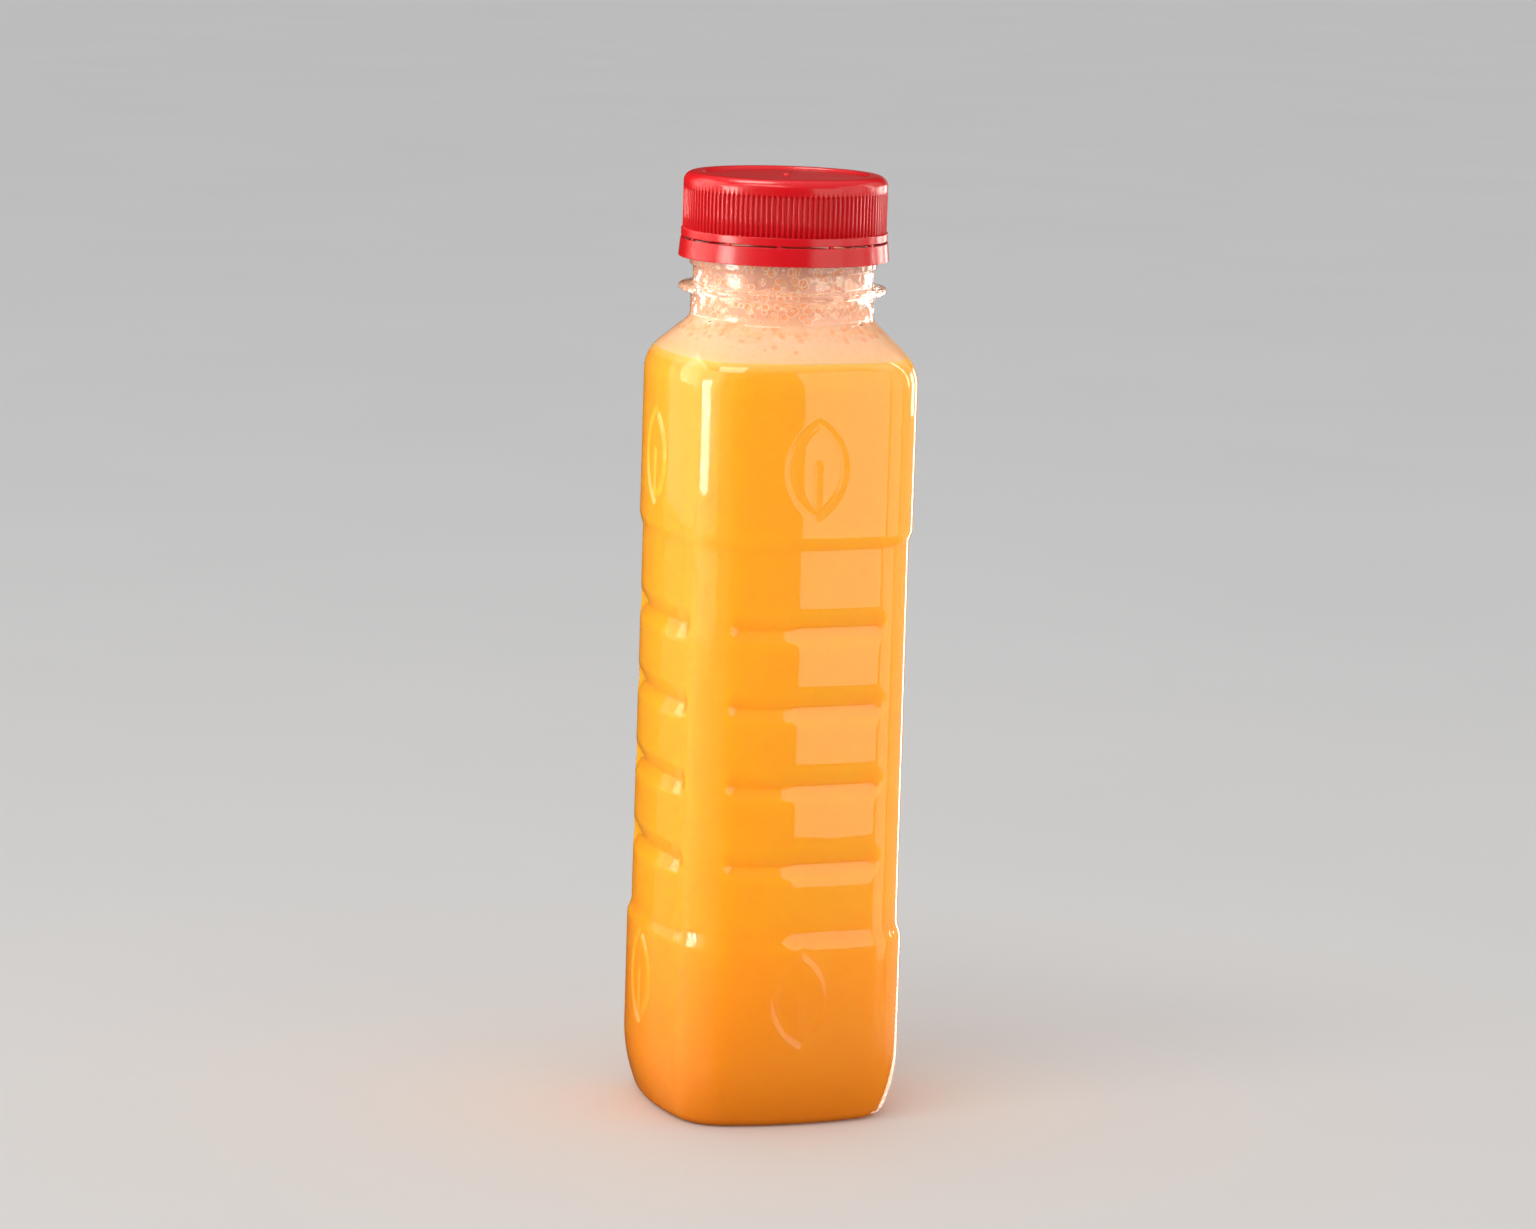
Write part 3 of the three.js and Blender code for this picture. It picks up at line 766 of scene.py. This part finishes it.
class Nodes:
    """A material's or group's node tree, with short ways to add and join nodes."""

    def __init__(self, tree):
        self.tree = tree

    def add(self, kind, values=None, **settings):
        node = self.tree.nodes.new(kind)
        for name, value in settings.items():
            setattr(node, name, value)
        for name, value in (values or {}).items():
            if isinstance(value, bpy.types.NodeSocket):
                self.tree.links.new(value, node.inputs[name])
            else:
                node.inputs[name].default_value = value
        return node

    def math(self, operation, first, second):
        return self.add("ShaderNodeMath", {0: first, 1: second}, operation=operation).outputs[0]

    def blend(self, share, low, high):
        node = self.add("ShaderNodeMix", data_type="RGBA")
        for place, value in ((0, share), (6, low), (7, high)):
            if isinstance(value, bpy.types.NodeSocket):
                self.tree.links.new(value, node.inputs[place])
            else:
                node.inputs[place].default_value = value
        return node.outputs[2]


def colour(red, green, blue):
    return (red, green, blue, 1)


def new_material(name):
    """A material with an empty tree, and its output node."""
    material = bpy.data.materials.new(name)
    material.use_nodes = True
    material.node_tree.nodes.clear()
    nodes = Nodes(material.node_tree)
    return material, nodes, nodes.add("ShaderNodeOutputMaterial")


def mottle_group():
    """Soft uneven patches: a value from 0 to 1 over the surface, at a scale per metre and with a contrast."""
    tree = bpy.data.node_groups.new("mottle", "ShaderNodeTree")
    for name, default in (("Scale", 100.0), ("Contrast", 1.0), ("Detail", 3.0)):
        socket = tree.interface.new_socket(name=name, in_out="INPUT", socket_type="NodeSocketFloat")
        socket.default_value = default
    tree.interface.new_socket(name="Value", in_out="OUTPUT", socket_type="NodeSocketFloat")
    nodes = Nodes(tree)
    given = nodes.add("NodeGroupInput")
    place = nodes.add("ShaderNodeTexCoord").outputs["Object"]
    noise = nodes.add("ShaderNodeTexNoise", {
        "Vector": place, "Scale": given.outputs["Scale"], "Detail": given.outputs["Detail"]})
    centred = nodes.math("SUBTRACT", noise.outputs[0], 0.5)
    spread = nodes.math("MULTIPLY", centred, given.outputs["Contrast"])
    value = nodes.add("ShaderNodeMath", {0: spread, 1: 0.5}, operation="ADD", use_clamp=True).outputs[0]
    nodes.add("NodeGroupOutput", {"Value": value})
    return tree


MOTTLE = mottle_group()


def mottle(nodes, scale, contrast, detail=3):
    node = nodes.add("ShaderNodeGroup", node_tree=MOTTLE)
    for name, value in (("Scale", scale), ("Contrast", contrast), ("Detail", detail)):
        node.inputs[name].default_value = value
    return node.outputs["Value"]


def make_clear_plastic():
    """Clear blown plastic, a little wavy, which lamp light and soft light pass straight through."""
    material, nodes, output = new_material("clear_plastic")
    waves = mottle(nodes, 140, 1.0, 1)
    place = nodes.add("ShaderNodeTexCoord").outputs["Object"]
    slanted = nodes.add("ShaderNodeVectorMath", {0: place, 1: (0.4, 1, -1)}, operation="MULTIPLY").outputs[0]
    pattern = {"Vector": slanted, "Scale": 480, "Distortion": 5, "Detail": 1, "Detail Scale": 0.2}
    ripples = nodes.add("ShaderNodeTexWave", pattern, bands_direction="DIAGONAL")
    fade = nodes.math("SUBTRACT", 1, height_share(nodes, RIPPLE_FADE))
    low_ripples = nodes.math("MULTIPLY", nodes.math("MULTIPLY", ripples.outputs["Fac"], fade), 1.5)
    relief = nodes.math("ADD", waves, low_ripples)
    bump = nodes.add("ShaderNodeBump", {"Height": relief, "Distance": 0.00004, "Strength": 0.5})
    wall = nodes.add("ShaderNodeBsdfPrincipled", {
        "Base Color": colour(1, 0.985, 0.965), "Roughness": 0.03, "IOR": 1.57,
        "Transmission Weight": 1, "Normal": bump.outputs[0]})
    light_through = nodes.add("ShaderNodeBsdfTransparent", {"Color": colour(0.97, 0.96, 0.94)})
    path = nodes.add("ShaderNodeLightPath")
    soft_light = nodes.add("ShaderNodeMixShader", {
        0: path.outputs["Is Diffuse Ray"], 1: wall.outputs[0], 2: light_through.outputs[0]})
    lamp_light = nodes.add("ShaderNodeMixShader", {
        0: path.outputs["Is Shadow Ray"], 1: soft_light.outputs[0], 2: light_through.outputs[0]})
    nodes.tree.links.new(lamp_light.outputs[0], output.inputs["Surface"])
    return material


def height_share(nodes, heights):
    """0 up to the first of two heights and 1 from the second one up."""
    low, high = heights
    place = nodes.add("ShaderNodeTexCoord").outputs["Object"]
    z = nodes.add("ShaderNodeSeparateXYZ", {0: place}).outputs["Z"]
    return nodes.add("ShaderNodeMapRange", {"Value": z, "From Min": low, "From Max": high}).outputs[0]


def make_juice_material():
    """Cloudy orange juice: deep orange with soft clouds of pulp, with painted shade that darkens it towards
    the bottom and fades out upwards, and paler and yellower where it meets the foam.
    """
    material, nodes, output = new_material("orange_juice")
    clouds = mottle(nodes, 90, 1.6)
    body = nodes.blend(clouds, colour(0.97, 0.36, 0.004), colour(0.99, 0.41, 0.006))
    # Painted shade: the juice is darker towards the bottom, and this fades out upwards to a paler orange near
    # the top
    lower = nodes.blend(height_share(nodes, JUICE_BASE_SHADE), colour(0.73, 0.225, 0.003), body)
    upper = nodes.blend(height_share(nodes, JUICE_SHADE_FADE), lower, colour(1, 0.405, 0.008))
    blended = nodes.blend(height_share(nodes, JUICE_NEAR_FOAM), upper, colour(0.99, 0.56, 0.14))
    below_foam = nodes.math("SUBTRACT", 1, height_share(nodes, JUICE_UNDER_FOAM))
    from_ends = nodes.math("MULTIPLY", height_share(nodes, JUICE_OVER_BASE), below_foam)
    reach = nodes.add("ShaderNodeMapRange", {"Value": from_ends, "To Min": 0.05, "To Max": 0.9}).outputs[0]
    juice = nodes.add("ShaderNodeBsdfPrincipled", {
        "Base Color": blended, "Roughness": 0.45, "IOR": 1.35, "Subsurface Weight": 1,
        "Subsurface Radius": (0.014, 0.008, 0.002), "Subsurface Scale": reach})
    nodes.tree.links.new(juice.outputs[0], output.inputs["Surface"])
    return material


def round_cells(nodes, scale, share):
    """Round bubbles of mixed size in a share of the cells, this many to a metre: insides and rims."""
    place = nodes.add("ShaderNodeTexCoord").outputs["Object"]
    cells = nodes.add("ShaderNodeTexVoronoi", {"Vector": place, "Scale": scale, "Randomness": 0.9})
    chance = nodes.add("ShaderNodeSeparateColor", {0: cells.outputs["Color"]}).outputs[0]
    over = nodes.math("SUBTRACT", chance, nodes.math("SUBTRACT", 1, share))
    radius = nodes.math("MINIMUM", nodes.math("MULTIPLY", over, CELL_GROWTH), CELL_LARGEST)
    depth = nodes.math("SUBTRACT", radius, cells.outputs["Distance"])
    inside = nodes.add("ShaderNodeMapRange", {"Value": depth, "From Max": CELL_RIM}).outputs[0]
    rim = nodes.math("MULTIPLY", nodes.math("MULTIPLY", inside, 4), nodes.math("SUBTRACT", 1, inside))
    return inside, rim


def make_foam_material():
    """Fine pale foam, more orange inside its bubbles, with painted shade that makes it darker and pinker up
    the neck and more so under the cap.
    """
    material, nodes, output = new_material("juice_foam")
    grain = mottle(nodes, 900, 1.6)
    froth = nodes.blend(grain, colour(0.84, 0.46, 0.25), colour(0.88, 0.56, 0.36))
    warm = nodes.blend(0.5, froth, colour(0.96, 0.50, 0.18))
    froth = nodes.blend(height_share(nodes, FROTH_NEAR_JUICE), warm, froth)
    # Painted shade: the froth turns darker and pinker up the neck, and darker again under the cap
    froth = nodes.blend(height_share(nodes, FROTH_SHADE_IN_NECK), froth, colour(0.76, 0.36, 0.22))
    froth = nodes.blend(height_share(nodes, FROTH_SHADE_UNDER_CAP), froth, colour(0.66, 0.31, 0.22))
    dent = nodes.add("ShaderNodeAttribute", attribute_name="bubble").outputs["Fac"]
    froth = nodes.blend(nodes.math("MULTIPLY", dent, 0.35), froth, colour(0.93, 0.42, 0.14))
    in_neck = height_share(nodes, LARGE_BUBBLES)
    near_knee = height_share(nodes, SMALL_BUBBLES)
    small = round_cells(nodes, SMALL_CELLS, near_knee)
    large = round_cells(nodes, LARGE_CELLS, in_neck)
    inside = nodes.math("MAXIMUM", small[0], large[0])
    rim = nodes.math("MAXIMUM", nodes.math("MULTIPLY", small[1], in_neck), large[1])
    coloured = nodes.blend(nodes.math("MULTIPLY", inside, 0.5), froth, colour(0.90, 0.30, 0.10))
    coloured = nodes.blend(nodes.math("MULTIPLY", rim, 0.6), coloured, colour(0.98, 0.80, 0.66))
    relief = nodes.math("ADD", nodes.math("MULTIPLY", grain, 0.2), rim)
    bump = nodes.add("ShaderNodeBump", {"Height": relief, "Distance": 0.00012, "Strength": 0.6})
    foam = nodes.add("ShaderNodeBsdfPrincipled", {
        "Base Color": coloured, "Roughness": 0.5, "Subsurface Weight": 0.4,
        "Subsurface Radius": (0.004, 0.0025, 0.0015), "Subsurface Scale": 0.5, "Normal": bump.outputs[0]})
    nodes.tree.links.new(foam.outputs[0], output.inputs["Surface"])
    return material


def make_red_plastic():
    """Moulded red plastic with a fine uneven gloss."""
    material, nodes, output = new_material("red_plastic")
    grain = mottle(nodes, 1500, 1.5)
    patches = mottle(nodes, 120, 1.3)
    red = nodes.blend(patches, colour(0.50, 0.003, 0.007), colour(0.56, 0.004, 0.010))
    roughness = nodes.add("ShaderNodeMapRange", {"Value": patches, "To Min": 0.16, "To Max": 0.22}).outputs[0]
    bump = nodes.add("ShaderNodeBump", {"Height": grain, "Distance": 0.00003, "Strength": 0.5})
    cap = nodes.add("ShaderNodeBsdfPrincipled", {
        "Base Color": red, "Roughness": roughness, "IOR": 1.5, "Subsurface Weight": 0.15,
        "Subsurface Radius": (0.003, 0.0006, 0.0006), "Subsurface Scale": 0.5, "Normal": bump.outputs[0]})
    nodes.tree.links.new(cap.outputs[0], output.inputs["Surface"])
    return material


def make_floor():
    """A plain pale floor, just under the standing ring."""
    material, nodes, output = new_material("pale_floor")
    tone = nodes.blend(mottle(nodes, 6, 1.2), colour(0.82, 0.81, 0.79), colour(0.86, 0.85, 0.83))
    surface = nodes.add("ShaderNodeBsdfPrincipled", {"Base Color": tone, "Roughness": 0.7})
    nodes.tree.links.new(surface.outputs[0], output.inputs["Surface"])
    bm = bmesh.new()
    bmesh.ops.create_grid(bm, x_segments=1, y_segments=1, size=FLOOR_HALF_WIDTH)
    mesh = bpy.data.meshes.new("floor")
    bm.to_mesh(mesh)
    bm.free()
    mesh.materials.append(material)
    floor = bpy.data.objects.new("floor", mesh)
    floor.location.z = FLOOR_HEIGHT
    bpy.context.scene.collection.objects.link(floor)
    floor.visible_glossy = False
    floor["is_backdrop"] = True


def softbox(name, azimuth, distance, low, high, half_angle, radiance, lit=None):
    """A lamp panel with these measures, which lights one collection alone if it is given."""
    heading = math.radians(azimuth)
    width = 2 * distance * math.tan(math.radians(half_angle))
    data = bpy.data.lights.new(name, "AREA")
    data.shape = "RECTANGLE"
    data.size = width
    data.size_y = high - low
    data.color = LAMP_COLOUR
    data.energy = radiance * math.pi * width * (high - low)
    lamp = bpy.data.objects.new(name, data)
    bpy.context.scene.collection.objects.link(lamp)
    outwards = Vector((math.sin(heading), -math.cos(heading), 0))
    lamp.location = outwards * distance + Vector((0, 0, (low + high) / 2))
    aim = Vector((0, 0, BOTTLE_MIDDLE)) - lamp.location
    lamp.rotation_mode = "QUATERNION"
    lamp.rotation_quaternion = aim.to_track_quat("-Z", "Y")
    lamp.visible_camera = False
    if lit is not None:
        lamp.light_linking.receiver_collection = lit
        lamp.light_linking.blocker_collection = lit


def behind(nodes, direction):
    """1 for directions into the backdrop's lower part, behind and to the right, and 0 elsewhere."""
    heading = (math.sin(BACKDROP_HEADING), math.cos(BACKDROP_HEADING), BACKDROP_FALL)
    product = nodes.add("ShaderNodeVectorMath", {0: direction, 1: heading}, operation="DOT_PRODUCT")
    along = product.outputs["Value"]
    inner, outer = (math.cos(math.radians(turn)) for turn in BACKDROP_TURNS)
    return nodes.add("ShaderNodeMapRange", {"Value": along, "From Min": outer, "From Max": inner}).outputs[0]


def make_world():
    """A pale room, which shows darker in reflections up to well above the horizon."""
    world = bpy.data.worlds.new("studio")
    world.use_nodes = True
    world.cycles.sampling_method = "NONE"
    nodes = Nodes(world.node_tree)
    direction = nodes.add("ShaderNodeTexCoord").outputs["Generated"]
    upwards = nodes.add("ShaderNodeSeparateXYZ", {0: direction}).outputs["Z"]
    rise_start, rise_end = (math.sin(angle) for angle in MIRRORED_RISE)
    height = nodes.add("ShaderNodeMapRange", {
        "Value": upwards, "From Min": rise_start, "From Max": rise_end}).outputs[0]
    low = nodes.blend(behind(nodes, direction), MIRRORED_LOW, BACKDROP)
    mirrored = nodes.blend(height, low, ROOM)
    path = nodes.add("ShaderNodeLightPath")
    in_gloss = nodes.math("MULTIPLY", path.outputs["Is Glossy Ray"], path.outputs["Is Reflection Ray"])
    background = world.node_tree.nodes["Background"]
    world.node_tree.links.new(nodes.blend(in_gloss, ROOM, mirrored), background.inputs["Color"])
    background.inputs["Strength"].default_value = ROOM_STRENGTH
    bpy.context.scene.world = world


def light_the_scene():
    bottle_pieces = bpy.data.collections.new("bottle_pieces")
    cap_pieces = bpy.data.collections.new("cap_pieces")
    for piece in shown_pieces():
        bottle_pieces.objects.link(piece)
        if piece.name == "cap_shell":
            cap_pieces.objects.link(piece)
    for name, measures in BOTTLE_LAMPS.items():
        softbox(name, *measures, bottle_pieces)
    softbox("cap_top_softbox", *CAP_LAMP, cap_pieces)
    softbox("high_left_softbox", *HIGH_LAMP)
    make_world()


def set_view():
    scene = bpy.context.scene
    scene.view_settings.view_transform = "Standard"
    scene.cycles.use_denoising = True
    scene.cycles.max_bounces = 12
    scene.cycles.transmission_bounces = 12
    scene.cycles.transparent_max_bounces = 16
    scene.cycles.caustics_reflective = False
    scene.cycles.caustics_refractive = False
    scene.cycles.sample_clamp_indirect = 5


make_bottle(make_clear_plastic())
make_juice(make_juice_material())
make_foam(make_foam_material())
RED_PLASTIC = make_red_plastic()
make_cap(RED_PLASTIC)
make_tamper_band(RED_PLASTIC)
make_bridges(RED_PLASTIC)
make_floor()
light_the_scene()
set_view()
